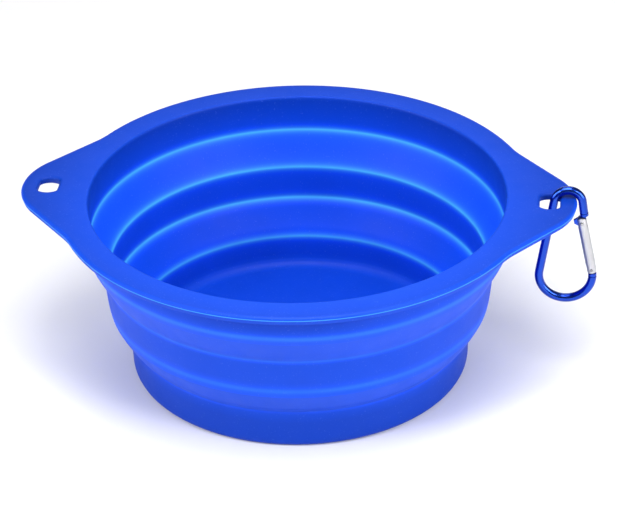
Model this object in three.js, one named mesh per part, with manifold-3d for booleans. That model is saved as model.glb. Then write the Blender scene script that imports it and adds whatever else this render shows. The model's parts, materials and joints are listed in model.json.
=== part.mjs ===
// Portable pet bowl: a silicone bowl that folds flat in two tiers, with a carabiner through one of its ears.
// Millimetres, +Z up. The origin is the middle of the underside, and the ears lie along X.

import * as THREE from 'three';
import { mergeVertices } from 'three/addons/utils/BufferGeometryUtils.js';
import Module from 'manifold-3d';

const wasm = await Module();
wasm.setup();

// Heights of the bowl's zones, from the underside up
const BASE_CUP_HEIGHT = 15.9;
const LOWER_FOLD_HEIGHT = 14;
const MIDDLE_RING_HEIGHT = 14;
const UPPER_FOLD_HEIGHT = 13.7;
const UPPER_RING_HEIGHT = 14.4;

// Radii of the bowl: the mouth, and the step inwards at each fold
const MOUTH_RADIUS = 79.3;
const UPPER_STEP = 7;
const LOWER_STEP = 8.1;

// Walls of the bowl: the middle ring thins towards its foot, and each fold's web bows outwards
const RING_WALL = 3;
const MIDDLE_DRAFT = 1.4;
const FOLD_WALL = 2.4;
const FOLD_BOW = 0.5;
const HINGE_WALL = 1;
const HINGE_TAPER = 1.8;
const CUP_WALL = 1.9;
const FLOOR_WALL = 2.6;
const CUP_TAPER = 0.6;
const FOOT_ROUND = 3;
const FLOOR_CORNER = 4.5;
const RING_CHAMFER = 0.3;

// Rim flange
const RIM_OVERHANG = 8.2;
const RIM_THICKNESS = 3;
const RIM_EDGE_ROUND = 1.2;
const MOUTH_ROUND = 1.5;
const UNDER_RIM_FILLET = 1.5;
const FLANGE_LAP = 0.5;

// Ears: tip beyond the rim, half width where the flank meets the rim, and the strip beyond the hole
const EAR_REACH = 15.3;
const EAR_TIP_RADIUS = 27.9;
const EAR_HALF_WIDTH = 39.4;
const EAR_BLEND = 4;
const EAR_STRIP = 6.3;
const HOLE_WIDTH = 7.6;
const HOLE_LENGTH = 11.2;
const HOLE_END_RISE = 1.75;

// Carabiner: a pear-shaped bent rod, narrow arch up, hung round the strip of the ear
const CARABINER_LENGTH = 50.6;
const ROD_DIAMETER = 3.3;
const BEND_RADIUS = 10.2;
const ARCH_SLACK = 0.7;
const ARCH_SEAT_GAP = 0.35;
const HOLE_END_GAP = 0.7;
const STUB_LENGTH = 6.2;

// Gate, its pins and its spring: the gate is thicker than the rod, and its hinge pin lies inwards of the leg
const GATE_DIAMETER = 3.8;
const HINGE_INSET = 1.2;
const GATE_END_RADIUS = 2.1;
const GATE_GAP = 0.4;
const HINGE_PIN_DIAMETER = 1.2;
const LATCH_PIN_DIAMETER = 1;
const PIN_CLEARANCE = 0.1;
const PIN_DOME = 0.15;
const TANG_THICKNESS = 1.2;
const TANG_REACH = 3.3;
const TANG_HEIGHT = 1.4;
const TANG_TIP_RADIUS = 1.35;
const SLOT_CLEARANCE = 0.3;
const LATCH_RISE = 1.9;
const NOTCH_CLEARANCE = 0.3;
const NOSE_HOOK = 1;
const SPRING_DIAMETER = 1.7;
const SPRING_WIRE = 0.35;
const SPRING_PITCH = 0.88;
const SPRING_TURNS = 6;
const BORE_CLEARANCE = 0.2;

// Facets of the curved surfaces
const RING_FACETS = 64;
const ROUND_STEPS = 3;
const ROD_FACETS = 12;
const ROD_STEPS = 60;
const PIN_FACETS = 12;
const SPRING_SIDES = 5;
const SPRING_STEPS = 8;

// Levels of the fold lines and of the rim
const LOW_CREASE = BASE_CUP_HEIGHT;
const MIDDLE_FOOT = LOW_CREASE + LOWER_FOLD_HEIGHT;
const MIDDLE_TOP = MIDDLE_FOOT + MIDDLE_RING_HEIGHT;
const UPPER_FOOT = MIDDLE_TOP + UPPER_FOLD_HEIGHT;
const RIM_TOP = UPPER_FOOT + UPPER_RING_HEIGHT;
const RIM_UNDER = RIM_TOP - RIM_THICKNESS;

// Radii that follow from those above
const MIDDLE_BORE = MOUTH_RADIUS - UPPER_STEP;
const CUP_BORE = MIDDLE_BORE - LOWER_STEP;
const UPPER_RING_OUTER = MOUTH_RADIUS + RING_WALL;
const RIM_RADIUS = UPPER_RING_OUTER + RIM_OVERHANG;

// Ear and hole places along X
const EAR_TIP = RIM_RADIUS + EAR_REACH;
const HOLE_X = EAR_TIP - EAR_STRIP - HOLE_WIDTH / 2;
const HOLE_END_RADIUS = (HOLE_WIDTH ** 2 / 4 + HOLE_END_RISE ** 2) / (2 * HOLE_END_RISE);

// The carabiner hangs at the far end of the hole, its arch centred on the strip that it goes round
const ROD_RADIUS = ROD_DIAMETER / 2;
const HANG_Y = HOLE_LENGTH / 2 - ROD_RADIUS - HOLE_END_GAP;
const TIP_CENTRE = EAR_TIP - EAR_TIP_RADIUS;
const HANG_EAR_EDGE = TIP_CENTRE + Math.sqrt(EAR_TIP_RADIUS ** 2 - HANG_Y ** 2);
const HANG_X = (HANG_EAR_EDGE + EAR_TIP - EAR_STRIP) / 2;
const STRIP_CORE_X = HANG_EAR_EDGE - HANG_X - RIM_EDGE_ROUND;
const STRIP_CORE_Z = RIM_THICKNESS / 2 - RIM_EDGE_ROUND;
const ARCH_INNER = Math.hypot(STRIP_CORE_X, STRIP_CORE_Z) + RIM_EDGE_ROUND + ARCH_SLACK;
const ARCH_RADIUS = ARCH_INNER + ROD_RADIUS;
const SEAT_REACH = ARCH_INNER - ARCH_SEAT_GAP - RIM_EDGE_ROUND;
const HANG_Z = RIM_TOP - RIM_EDGE_ROUND - Math.sqrt(SEAT_REACH ** 2 - STRIP_CORE_X ** 2);

// The two legs spread from the arch to the wide bend
const BEND_DROP = CARABINER_LENGTH - ROD_DIAMETER - ARCH_RADIUS - BEND_RADIUS;
const LEG_SPREAD = Math.asin((BEND_RADIUS - ARCH_RADIUS) / BEND_DROP);
const LEG_LENGTH = BEND_DROP * Math.cos(LEG_SPREAD);

// The gate leans from its hinge pin to the end of the leg
const GATE_RADIUS = GATE_DIAMETER / 2;
const PIN_DROP = STUB_LENGTH + GATE_GAP + GATE_END_RADIUS;
const GATE_LEAN = Math.atan2(HINGE_INSET, LEG_LENGTH - PIN_DROP);

// Along the gate, measured from the hinge pin: down is negative
const SHOULDER = GATE_GAP + GATE_END_RADIUS;
const NOSE_BASE = -Math.hypot(HINGE_INSET, LEG_LENGTH - PIN_DROP);
const GATE_FOOT = NOSE_BASE + GATE_GAP;
const LATCH_Z = NOSE_BASE + LATCH_RISE;
const NOTCH_HALF = LATCH_PIN_DIAMETER / 2 + NOTCH_CLEARANCE;
const NOSE_TOP = LATCH_Z + NOTCH_HALF + NOSE_HOOK;
const SLOT_WIDTH = TANG_THICKNESS + 2 * SLOT_CLEARANCE;
const SLOT_FOOT = -Math.hypot(TANG_TIP_RADIUS, TANG_TIP_RADIUS) - SLOT_CLEARANCE;
const SPRING_TOP = -TANG_TIP_RADIUS - SLOT_CLEARANCE - SPRING_WIRE;
const SPRING_HEIGHT = SPRING_PITCH * SPRING_TURNS;
const BORE_FOOT = SPRING_TOP - SPRING_HEIGHT - SPRING_WIRE;

const point = (x, y) => new THREE.Vector2(x, y);
const mirrorX = (p) => point(-p.x, p.y);
const mirrorY = (p) => point(p.x, -p.y);

// Points on an arc, both ends included
function arc(centre, radius, from, to, steps) {
  const points = [];
  for (let i = 0; i <= steps; i++) {
    const angle = from + ((to - from) * i) / steps;
    points.push(point(centre.x + radius * Math.cos(angle), centre.y + radius * Math.sin(angle)));
  }
  return points;
}

// Turns a closed section, radius across and height up, about the bowl's axis
function revolve(section, facets = RING_FACETS) {
  return new THREE.LatheGeometry(section, facets).rotateX(Math.PI / 2);
}

// A plate in the plane of X and Z, of even thickness about Y = 0
function plate(outline, thickness) {
  const profile = new THREE.Shape(outline);
  const geometry = new THREE.ExtrudeGeometry(profile, { depth: thickness, bevelEnabled: false });
  return geometry.translate(0, 0, -thickness / 2).rotateX(Math.PI / 2);
}

// A round bar along Y, with domed ends
function pin(diameter, length) {
  const radius = diameter / 2;
  const half = length / 2;
  const section = [
    point(0, -half),
    point(radius, PIN_DOME - half),
    point(radius, half - PIN_DOME),
    point(0, half),
  ];
  return new THREE.LatheGeometry(section, PIN_FACETS);
}

// A closed geometry as a solid that can be joined and cut
function solid(geometry) {
  geometry.deleteAttribute('normal');
  geometry.deleteAttribute('uv');
  const merged = mergeVertices(geometry);
  const vertProperties = new Float32Array(merged.attributes.position.array);
  const triVerts = new Uint32Array(merged.index.array);
  return new wasm.Manifold(new wasm.Mesh({ numProp: 3, vertProperties, triVerts }));
}

// A joined or cut solid back as a geometry
function shape(manifold) {
  const mesh = manifold.getMesh();
  const geometry = new THREE.BufferGeometry();
  geometry.setAttribute('position', new THREE.BufferAttribute(mesh.vertProperties, 3));
  geometry.setIndex(new THREE.BufferAttribute(mesh.triVerts, 1));
  geometry.computeVertexNormals();
  return geometry;
}

// A quarter of the rim's plan, from the ear's tip to the side: tip arc, straight flank, soft blend, round rim
function rimQuarter() {
  const tipCentre = point(TIP_CENTRE, 0);
  const rootAngle = Math.asin(EAR_HALF_WIDTH / RIM_RADIUS);
  const root = point(RIM_RADIUS * Math.cos(rootAngle), EAR_HALF_WIDTH);
  const toRoot = root.clone().sub(tipCentre);
  const flankNormal = toRoot.angle() - Math.acos(EAR_TIP_RADIUS / toRoot.length());
  const tip = arc(tipCentre, EAR_TIP_RADIUS, 0, flankNormal, 2 * ROUND_STEPS);
  const flank = root.clone().sub(tip.at(-1)).normalize();
  const blendEnd = rootAngle + EAR_BLEND / RIM_RADIUS;
  const rim = arc(point(0, 0), RIM_RADIUS, blendEnd, Math.PI / 2, RING_FACETS / 4);
  const blendStart = root.clone().addScaledVector(flank, -EAR_BLEND);
  const blend = new THREE.QuadraticBezierCurve(blendStart, root, rim[0]).getPoints(ROUND_STEPS);
  return [...tip, ...blend.slice(0, -1), ...rim];
}

// The whole plan of the rim with both ears
function rimOutline() {
  const quarter = rimQuarter();
  const half = [...quarter, ...quarter.slice(0, -1).reverse().map(mirrorX)];
  return [...half, ...half.slice(1, -1).reverse().map(mirrorY)];
}

// An ear's hole: straight sides, shallow arcs at both ends
function holeOutline() {
  const centre = point(HOLE_X, HOLE_LENGTH / 2 - HOLE_END_RADIUS);
  const corner = Math.acos(HOLE_WIDTH / 2 / HOLE_END_RADIUS);
  const end = arc(centre, HOLE_END_RADIUS, corner, Math.PI - corner, 2 * ROUND_STEPS);
  return [...end, ...end.map(mirrorY).reverse()];
}

// The flat flange with its ears, every edge rounded; the ring below it closes its inner edge
function flange() {
  const outline = new THREE.Shape(rimOutline());
  const inner = arc(point(0, 0), UPPER_RING_OUTER + UNDER_RIM_FILLET, 0, 2 * Math.PI, RING_FACETS).slice(1);
  const hole = holeOutline();
  outline.holes = [inner, hole, hole.map(mirrorX)].map((points) => new THREE.Path(points));
  const geometry = new THREE.ExtrudeGeometry(outline, {
    depth: RIM_THICKNESS - 2 * RIM_EDGE_ROUND,
    bevelThickness: RIM_EDGE_ROUND,
    bevelSize: RIM_EDGE_ROUND,
    bevelOffset: -RIM_EDGE_ROUND,
    bevelSegments: ROUND_STEPS,
  });
  return geometry.translate(0, 0, RIM_UNDER + RIM_EDGE_ROUND);
}

// The upper ring's section, with the rounded mouth and the root of the flange
function upperRingSection() {
  const flangeRoot = UPPER_RING_OUTER + UNDER_RIM_FILLET + RIM_EDGE_ROUND + FLANGE_LAP;
  const filletCentre = point(UPPER_RING_OUTER + UNDER_RIM_FILLET, RIM_UNDER - UNDER_RIM_FILLET);
  const mouthCentre = point(MOUTH_RADIUS + MOUTH_ROUND, RIM_TOP - MOUTH_ROUND);
  const section = [
    point(MOUTH_RADIUS, UPPER_FOOT + RING_CHAMFER),
    point(MOUTH_RADIUS + RING_CHAMFER, UPPER_FOOT),
    point(UPPER_RING_OUTER - RING_CHAMFER, UPPER_FOOT),
    point(UPPER_RING_OUTER, UPPER_FOOT + RING_CHAMFER),
    ...arc(filletCentre, UNDER_RIM_FILLET, Math.PI, Math.PI / 2, ROUND_STEPS),
    point(flangeRoot, RIM_UNDER),
    point(flangeRoot, RIM_TOP),
    ...arc(mouthCentre, MOUTH_ROUND, Math.PI / 2, Math.PI, ROUND_STEPS),
  ];
  return [...section, section[0]];
}

function rimAndEars() {
  return shape(solid(revolve(upperRingSection())).add(solid(flange())));
}

// A stiff ring between two fold lines, drawn in towards its foot, with its corners taken off
function middleRing() {
  const inner = MIDDLE_BORE;
  const topOuter = MIDDLE_BORE + RING_WALL;
  const footOuter = topOuter - MIDDLE_DRAFT;
  const section = [
    point(inner, MIDDLE_FOOT + RING_CHAMFER),
    point(inner + RING_CHAMFER, MIDDLE_FOOT),
    point(footOuter - RING_CHAMFER, MIDDLE_FOOT),
    point(footOuter, MIDDLE_FOOT + RING_CHAMFER),
    point(topOuter, MIDDLE_TOP - RING_CHAMFER),
    point(topOuter - RING_CHAMFER, MIDDLE_TOP),
    point(inner + RING_CHAMFER, MIDDLE_TOP),
    point(inner, MIDDLE_TOP - RING_CHAMFER),
  ];
  return revolve([...section, section[0]]);
}

// A web from the middle of one ring's edge up to the next ring's, thinned at both ends into a living hinge
function fold(low, high) {
  const slope = high.clone().sub(low);
  const rise = slope.y / slope.length();
  const taper = HINGE_TAPER / slope.length();
  const places = [0, taper, 1 / 3, 2 / 3, 1 - taper, 1];
  const face = (side) => places.map((t) => {
    const wall = t > 0 && t < 1 ? FOLD_WALL : HINGE_WALL;
    const bow = 4 * FOLD_BOW * t * (1 - t);
    return low.clone().lerp(high, t).add(point((bow + (side * wall) / 2) / rise, 0));
  });
  const section = [...face(1), ...face(-1).reverse()];
  return revolve([...section, section[0]]);
}

// The stiff lowest ring with the floor: rounded foot, tapered wall, rounded inner corner
function baseCup() {
  const mouthOuter = CUP_BORE + CUP_WALL;
  const footCentre = point(mouthOuter - CUP_TAPER - FOOT_ROUND, FOOT_ROUND);
  const cornerCentre = point(CUP_BORE - CUP_TAPER - FLOOR_CORNER, FLOOR_WALL + FLOOR_CORNER);
  return revolve([
    point(0, 0),
    ...arc(footCentre, FOOT_ROUND, -Math.PI / 2, 0, ROUND_STEPS),
    point(mouthOuter, LOW_CREASE - RING_CHAMFER),
    point(mouthOuter - RING_CHAMFER, LOW_CREASE),
    point(CUP_BORE + RING_CHAMFER, LOW_CREASE),
    point(CUP_BORE, LOW_CREASE - RING_CHAMFER),
    ...arc(cornerCentre, FLOOR_CORNER, 0, -Math.PI / 2, ROUND_STEPS),
    point(0, FLOOR_WALL),
  ]);
}

// The rod's centre line about the arch's centre: hinge stub, narrow arch, spine, wide bend
class RodLine extends THREE.Curve {
  getPoint(t, target = new THREE.Vector3()) {
    const archTurn = Math.PI - 2 * LEG_SPREAD;
    const bendTurn = Math.PI + 2 * LEG_SPREAD;
    const arch = ARCH_RADIUS * archTurn;
    let along = t * (STUB_LENGTH + arch + LEG_LENGTH + BEND_RADIUS * bendTurn);
    if (along < STUB_LENGTH) {
      return this.onLeg(STUB_LENGTH - along, 1, target);
    }
    along -= STUB_LENGTH;
    if (along < arch) {
      return this.onArc(0, ARCH_RADIUS, LEG_SPREAD + along / ARCH_RADIUS, target);
    }
    along -= arch;
    if (along < LEG_LENGTH) {
      return this.onLeg(along, -1, target);
    }
    along -= LEG_LENGTH;
    return this.onArc(-BEND_DROP, BEND_RADIUS, Math.PI - LEG_SPREAD + along / BEND_RADIUS, target);
  }

  onArc(centreZ, radius, angle, target) {
    return target.set(radius * Math.cos(angle), 0, centreZ + radius * Math.sin(angle));
  }

  onLeg(down, side, target) {
    const x = ARCH_RADIUS * Math.cos(LEG_SPREAD) + down * Math.sin(LEG_SPREAD);
    return target.set(side * x, 0, ARCH_RADIUS * Math.sin(LEG_SPREAD) - down * Math.cos(LEG_SPREAD));
  }
}

// Where the hinge pin sits, inwards of the leg, with Z turned up along the gate
function gateFrame() {
  const inwards = new THREE.Vector3(-Math.cos(LEG_SPREAD), 0, -Math.sin(LEG_SPREAD));
  const hinge = new RodLine().onLeg(PIN_DROP, 1, new THREE.Vector3()).addScaledVector(inwards, HINGE_INSET);
  return new THREE.Matrix4().makeRotationY(-LEG_SPREAD - GATE_LEAN).setPosition(hinge);
}

// The flattened end of the rod, bent inwards, that the gate turns on; the spring presses on its inner tip
function tang() {
  const tip = arc(point(0, 0), TANG_TIP_RADIUS, 0, -Math.PI / 2, ROUND_STEPS);
  return plate([
    point(HINGE_INSET + TANG_TIP_RADIUS, SHOULDER + ROD_RADIUS),
    ...tip,
    point(-TANG_TIP_RADIUS, -TANG_TIP_RADIUS),
    point(-TANG_REACH, -TANG_TIP_RADIUS / 2),
    point(-TANG_REACH, TANG_HEIGHT),
    point(HINGE_INSET - TANG_TIP_RADIUS, SHOULDER),
    point(HINGE_INSET - TANG_TIP_RADIUS, SHOULDER + ROD_RADIUS),
  ], TANG_THICKNESS);
}

// The flattened end that the gate closes on: a hook whose notch is open on the inner side
function nose() {
  return plate([
    point(-TANG_TIP_RADIUS, NOSE_BASE - ROD_RADIUS),
    point(TANG_TIP_RADIUS, NOSE_BASE - ROD_RADIUS),
    point(TANG_TIP_RADIUS, NOSE_TOP - NOSE_HOOK / 2),
    point(TANG_TIP_RADIUS - NOSE_HOOK / 2, NOSE_TOP),
    point(-NOTCH_HALF, NOSE_TOP),
    point(-NOTCH_HALF, LATCH_Z + NOTCH_HALF),
    point(NOTCH_HALF, LATCH_Z + NOTCH_HALF),
    point(NOTCH_HALF, LATCH_Z - NOTCH_HALF),
    point(-TANG_TIP_RADIUS, LATCH_Z - NOTCH_HALF),
  ], TANG_THICKNESS);
}

// A round hole along Y for a pin, its flats clear of the pin
function pinHole(diameter, z) {
  const radius = (diameter / 2 + PIN_CLEARANCE) / Math.cos(Math.PI / PIN_FACETS);
  const bar = new THREE.CylinderGeometry(radius, radius, 2 * GATE_DIAMETER, PIN_FACETS);
  return solid(bar.translate(0, 0, z));
}

function carabinerFrame() {
  const section = new THREE.Shape(arc(point(0, 0), ROD_RADIUS, 0, 2 * Math.PI, ROD_FACETS).slice(1));
  const rod = new THREE.ExtrudeGeometry(section, { steps: ROD_STEPS, extrudePath: new RodLine() });
  const ends = solid(tang()).add(solid(nose())).subtract(pinHole(HINGE_PIN_DIAMETER, 0));
  const placed = shape(ends).applyMatrix4(gateFrame());
  return shape(solid(rod).add(solid(placed)));
}

// A slot across the gate, open on both sides
function slot(top, foot) {
  const box = new THREE.BoxGeometry(2 * GATE_DIAMETER, SLOT_WIDTH, top - foot);
  return solid(box.translate(0, 0, (top + foot) / 2));
}

// The gate: a round bar, its top end curved about the hinge pin, slotted for the tang and for the nose
function carabinerGate() {
  const length = GATE_END_RADIUS - GATE_FOOT;
  const bar = new THREE.CylinderGeometry(GATE_RADIUS, GATE_RADIUS, length, ROD_FACETS).rotateX(Math.PI / 2);
  const side = Math.acos(GATE_RADIUS / GATE_END_RADIUS);
  const topEnd = arc(point(0, 0), GATE_END_RADIUS, side, Math.PI - side, 2 * ROUND_STEPS);
  const body = plate([
    point(GATE_DIAMETER, topEnd[0].y),
    ...topEnd,
    point(-GATE_DIAMETER, topEnd[0].y),
    point(-GATE_DIAMETER, 2 * GATE_FOOT),
    point(GATE_DIAMETER, 2 * GATE_FOOT),
  ], 2 * GATE_DIAMETER);
  const boreRadius = SPRING_DIAMETER / 2 + BORE_CLEARANCE;
  const bore = new THREE.CylinderGeometry(boreRadius, boreRadius, -BORE_FOOT, PIN_FACETS);
  bore.rotateX(Math.PI / 2).translate(0, 0, BORE_FOOT / 2);
  return shape(
    solid(bar.translate(0, 0, (GATE_END_RADIUS + GATE_FOOT) / 2))
      .intersect(solid(body))
      .subtract(slot(2 * GATE_END_RADIUS, SLOT_FOOT))
      .subtract(slot(NOSE_TOP + SLOT_CLEARANCE, 2 * GATE_FOOT))
      .subtract(solid(bore))
      .subtract(pinHole(HINGE_PIN_DIAMETER, 0))
      .subtract(pinHole(LATCH_PIN_DIAMETER, LATCH_Z)),
  );
}

// The coil spring's centre line, down the gate's bore
class SpringLine extends THREE.Curve {
  getPoint(t, target = new THREE.Vector3()) {
    const angle = 2 * Math.PI * SPRING_TURNS * t;
    const radius = (SPRING_DIAMETER - SPRING_WIRE) / 2;
    return target.set(radius * Math.cos(angle), radius * Math.sin(angle), SPRING_TOP - SPRING_HEIGHT * t);
  }
}

function gateSpring() {
  const line = new SpringLine();
  const wire = new THREE.Shape(arc(point(0, 0), SPRING_WIRE / 2, 0, 2 * Math.PI, SPRING_SIDES).slice(1));
  const turn = line.getPoint(1 / SPRING_TURNS).distanceTo(line.getPoint(0));
  console.log(`gate spring: least gap between its turns ${(turn - SPRING_WIRE).toFixed(2)} mm`);
  return new THREE.ExtrudeGeometry(wire, { steps: SPRING_TURNS * SPRING_STEPS, extrudePath: line });
}

const silicone = () => new THREE.MeshStandardMaterial({ color: 0x2c5ae0, roughness: 0.7, metalness: 0 });
const anodised = () => new THREE.MeshStandardMaterial({ color: 0x2348c8, roughness: 0.25, metalness: 1 });
const bareMetal = () => new THREE.MeshStandardMaterial({ color: 0xd9dae2, roughness: 0.3, metalness: 1 });
const steel = () => new THREE.MeshStandardMaterial({ color: 0xb4b6bb, roughness: 0.35, metalness: 1 });

function piece(name, geometry, material) {
  const mesh = new THREE.Mesh(geometry, material);
  mesh.name = name;
  return mesh;
}

const gate = new THREE.Group();
const hingePin = piece('gate_hinge_pin', pin(HINGE_PIN_DIAMETER, GATE_DIAMETER + 2 * PIN_DOME), steel());
const latchPin = piece('gate_latch_pin', pin(LATCH_PIN_DIAMETER, GATE_DIAMETER), steel());
latchPin.position.z = LATCH_Z;
gate.add(piece('carabiner_gate', carabinerGate(), bareMetal()), hingePin, latchPin);
gate.add(piece('gate_spring', gateSpring(), steel()));
gate.applyMatrix4(gateFrame());

const carabiner = new THREE.Group();
carabiner.position.set(HANG_X, HANG_Y, HANG_Z);
carabiner.add(piece('carabiner_frame', carabinerFrame(), anodised()), gate);

const upperHinge = point(MOUTH_RADIUS + RING_WALL / 2, UPPER_FOOT);
const middleTopHinge = point(MIDDLE_BORE + RING_WALL / 2, MIDDLE_TOP);
const middleFootHinge = point(MIDDLE_BORE + (RING_WALL - MIDDLE_DRAFT) / 2, MIDDLE_FOOT);
const cupHinge = point(CUP_BORE + CUP_WALL / 2, LOW_CREASE);
const upperFold = fold(middleTopHinge, upperHinge);
const lowerFold = fold(cupHinge, middleFootHinge);

const bowl = new THREE.Group();
bowl.add(
  piece('rim_and_ears', rimAndEars(), silicone()),
  piece('upper_fold', upperFold, silicone()),
  piece('middle_ring', middleRing(), silicone()),
  piece('lower_fold', lowerFold, silicone()),
  piece('base_cup', baseCup(), silicone()),
  carabiner,
);

export default bowl;
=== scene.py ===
"""A folding silicone pet bowl with its carabiner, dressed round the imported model. Metres, +Z up."""

import json
import math

import bmesh
import bpy
from mathutils import Matrix, Vector
from mathutils.geometry import delaunay_2d_cdt


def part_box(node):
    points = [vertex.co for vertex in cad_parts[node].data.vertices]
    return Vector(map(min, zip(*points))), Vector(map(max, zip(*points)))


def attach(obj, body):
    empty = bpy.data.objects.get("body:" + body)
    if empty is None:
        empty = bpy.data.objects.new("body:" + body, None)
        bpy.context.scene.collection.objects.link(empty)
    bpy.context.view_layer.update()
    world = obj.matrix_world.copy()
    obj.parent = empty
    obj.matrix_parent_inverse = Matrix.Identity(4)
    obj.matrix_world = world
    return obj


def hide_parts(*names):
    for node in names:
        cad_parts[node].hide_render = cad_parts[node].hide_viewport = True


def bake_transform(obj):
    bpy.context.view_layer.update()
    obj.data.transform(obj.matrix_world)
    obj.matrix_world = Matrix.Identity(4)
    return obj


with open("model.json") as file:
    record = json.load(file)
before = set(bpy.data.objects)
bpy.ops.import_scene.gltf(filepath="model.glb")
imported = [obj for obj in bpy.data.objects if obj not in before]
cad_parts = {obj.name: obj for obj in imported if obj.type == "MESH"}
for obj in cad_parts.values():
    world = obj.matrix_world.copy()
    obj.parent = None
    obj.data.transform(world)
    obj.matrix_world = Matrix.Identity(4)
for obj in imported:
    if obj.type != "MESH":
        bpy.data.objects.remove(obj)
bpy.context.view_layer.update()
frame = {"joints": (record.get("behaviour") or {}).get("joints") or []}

MM = 0.001

# Places that the frame gives
rim_low, rim_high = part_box("rim_and_ears")
middle_low, middle_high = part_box("middle_ring")
_, cup_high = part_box("base_cup")
rod_low, rod_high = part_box("carabiner_frame")
gate_low, gate_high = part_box("carabiner_gate")
pivots = {j["name"]: Vector(j["pos_m"]) for j in frame["joints"] if "pos_m" in j}
HANG = pivots["carabiner_swing"]
HINGE = pivots["gate_hinge"]

# Levels of the bowl, from the rim's top down
RIM_TOP = rim_high.z
UPPER_FOOT = rim_low.z
MIDDLE_TOP = middle_high.z
MIDDLE_FOOT = middle_low.z
CUP_TOP = cup_high.z
SEAM = (MIDDLE_TOP + MIDDLE_FOOT) / 2

# Walls of the bowl
RING_WALL = 3 * MM
MIDDLE_DRAFT = 1.4 * MM
FOLD_WALL = 2.4 * MM
FOLD_BOW = 0.5 * MM
CUP_WALL = 1.9 * MM
FLOOR_WALL = 2.6 * MM
CUP_TAPER = 0.6 * MM
FOOT_ROUND = 3 * MM
FLOOR_CORNER = 4.5 * MM
CREASE_SHIFT = 0.4 * MM
CREASE_ROUND = 0.7 * MM
RIDGE_ROUND = 1.6 * MM
FOOT_CREASE_ROUND = 1.3 * MM
WEB_ROUND = 1 * MM

# Rim flange, its edge and its parting line
RIM_OVERHANG = 8.2 * MM
RIM_THICKNESS = 3 * MM
MOUTH_ROUND = 1.5 * MM
UNDER_RIM_FILLET = 1.5 * MM
EDGE_TOP_ROUND = 1.4 * MM
PARTING_DROP = 0.95 * MM
PARTING_RIDGE = 0.1 * MM
PARTING_HEIGHT = 0.34 * MM
PARTING_STEP = 0.05 * MM
LIP_INSET = 0.1 * MM
LIP_DRAFT = 0.2 * MM
LIP_ROUND = 0.5 * MM
FLAT_MARGIN = 0.3 * MM

# Ears and their holes
EAR_TIP_RADIUS = 27.9 * MM
EAR_HALF_WIDTH = 39.4 * MM
EAR_BLEND = 4 * MM
EAR_STRIP = 6.3 * MM
HOLE_WIDTH = 7.6 * MM
HOLE_LENGTH = 11.2 * MM
HOLE_END_RISE = 1.75 * MM
HOLE_CORNER = 0.9 * MM

# Radii that follow
RIM_RADIUS = rim_high.y
UPPER_OUTER = RIM_RADIUS - RIM_OVERHANG
MOUTH_RADIUS = UPPER_OUTER - RING_WALL
MIDDLE_OUTER = middle_high.x
MIDDLE_BORE = MIDDLE_OUTER - RING_WALL
MIDDLE_FOOT_OUTER = MIDDLE_OUTER - MIDDLE_DRAFT
SEAM_OUTER = MIDDLE_OUTER - MIDDLE_DRAFT / 2
CUP_OUTER = cup_high.x
CUP_BORE = CUP_OUTER - CUP_WALL
EAR_TIP = rim_high.x

# Painted light and shade on the silicone, from 0 for the deepest painted shade to 1 along the fold lines,
# where light through the thin wall is painted as a glow: painted shade under the rim, below the mouth, on the
# rim's flat, towards the ears' tips, in the ear holes and on the cup; the plain wall; painted light inside
# the middle ring, on the lower fold and on the thin webs; a painted highlight on the rim's parting ridge and
# above the round ridges. And how much of a dull bloom the outer webs have, partly a duller surface and partly
# a painted sheen from the floor's reflection
ROOT_PAINTED_SHADE = 0.08
UNDER_RIM_PAINTED_SHADE = 0
HOLE_PAINTED_SHADE = 0.05
CUP_PAINTED_SHADE = 0.14
EAR_TIP_PAINTED_SHADE = 0.05
RIM_PAINTED_SHADE = 0.135
MOUTH_PAINTED_SHADE = 0.19
WALL_PLAIN = 0.25
INNER_MIDDLE_PAINTED_LIGHT = 0.275
INNER_LOWER_PAINTED_LIGHT = 0.28
WEB_PAINTED_LIGHT = 0.33
PARTING_PAINTED_HIGHLIGHT = 0.75
INNER_GLOWS = (1.02, 1.04, 1.06, 0.85)
INNER_HALO = 0.13
OUTER_GLOWS = (0.2, 0.21, 0.15, 0.1)
RIDGE_PAINTED_HIGHLIGHT = 0.06
ROOT_DEPTH = 11 * MM
UNDER_RIM_DEPTH = 6 * MM
RIDGE_BAND = 3 * MM
CUP_FADE = 5 * MM
UPPER_BLOOM_AND_SHEEN = 0.8
LOWER_BLOOM_AND_SHEEN = 1
INNER_GLOW_REACH = 0.75 * MM
INNER_HALO_REACH = 2.4 * MM
OUTER_GLOW_REACH = 1.2 * MM
EDGE_REACH = 4 * MM

# Fineness of the silicone's mesh
AZIMUTH_STEPS = 288
WALL_STEP = 0.6 * MM
FLOOR_STEP = 4 * MM
BEND_STEPS = 5
EAR_TIP_STEPS = 24
EAR_BLEND_STEPS = 12
RIM_QUARTER_STEPS = 72
FLANK_STEP = 1.5 * MM
HOLE_BOW_STEPS = 16

# Points of a bowed fold, as parts of its height
WEB_PARTS = (0.2, 0.35, 0.5, 0.65, 0.8)

# How the flats of the rim are filled: only inside their outlines, with points this close taken as one
FILL_INSIDE = 1
FILL_TOLERANCE = 1e-8

# Carabiner rod; the edges are parts of the groove's length, from its middle
ROD_RADIUS = (rod_high.y - rod_low.y) / 2
ARCH_RADIUS = rod_high.z - HANG.z - ROD_RADIUS
BEND_RADIUS = rod_high.x - HANG.x - ROD_RADIUS
BEND_DROP = HANG.z - rod_low.z - BEND_RADIUS - ROD_RADIUS
LEG_SPREAD = math.asin((BEND_RADIUS - ARCH_RADIUS) / BEND_DROP)
LEG_LENGTH = BEND_DROP * math.cos(LEG_SPREAD)
STUB_LENGTH = 6.2 * MM
COLLAR_LENGTH = 1.4 * MM
COLLAR_GROOVE = 0.4 * MM
COLLAR_DEPTH = 0.22 * MM
COLLAR_EDGES = (-0.5, -0.45, 0.45, 0.5)
END_CHAMFER = 0.2 * MM

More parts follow.
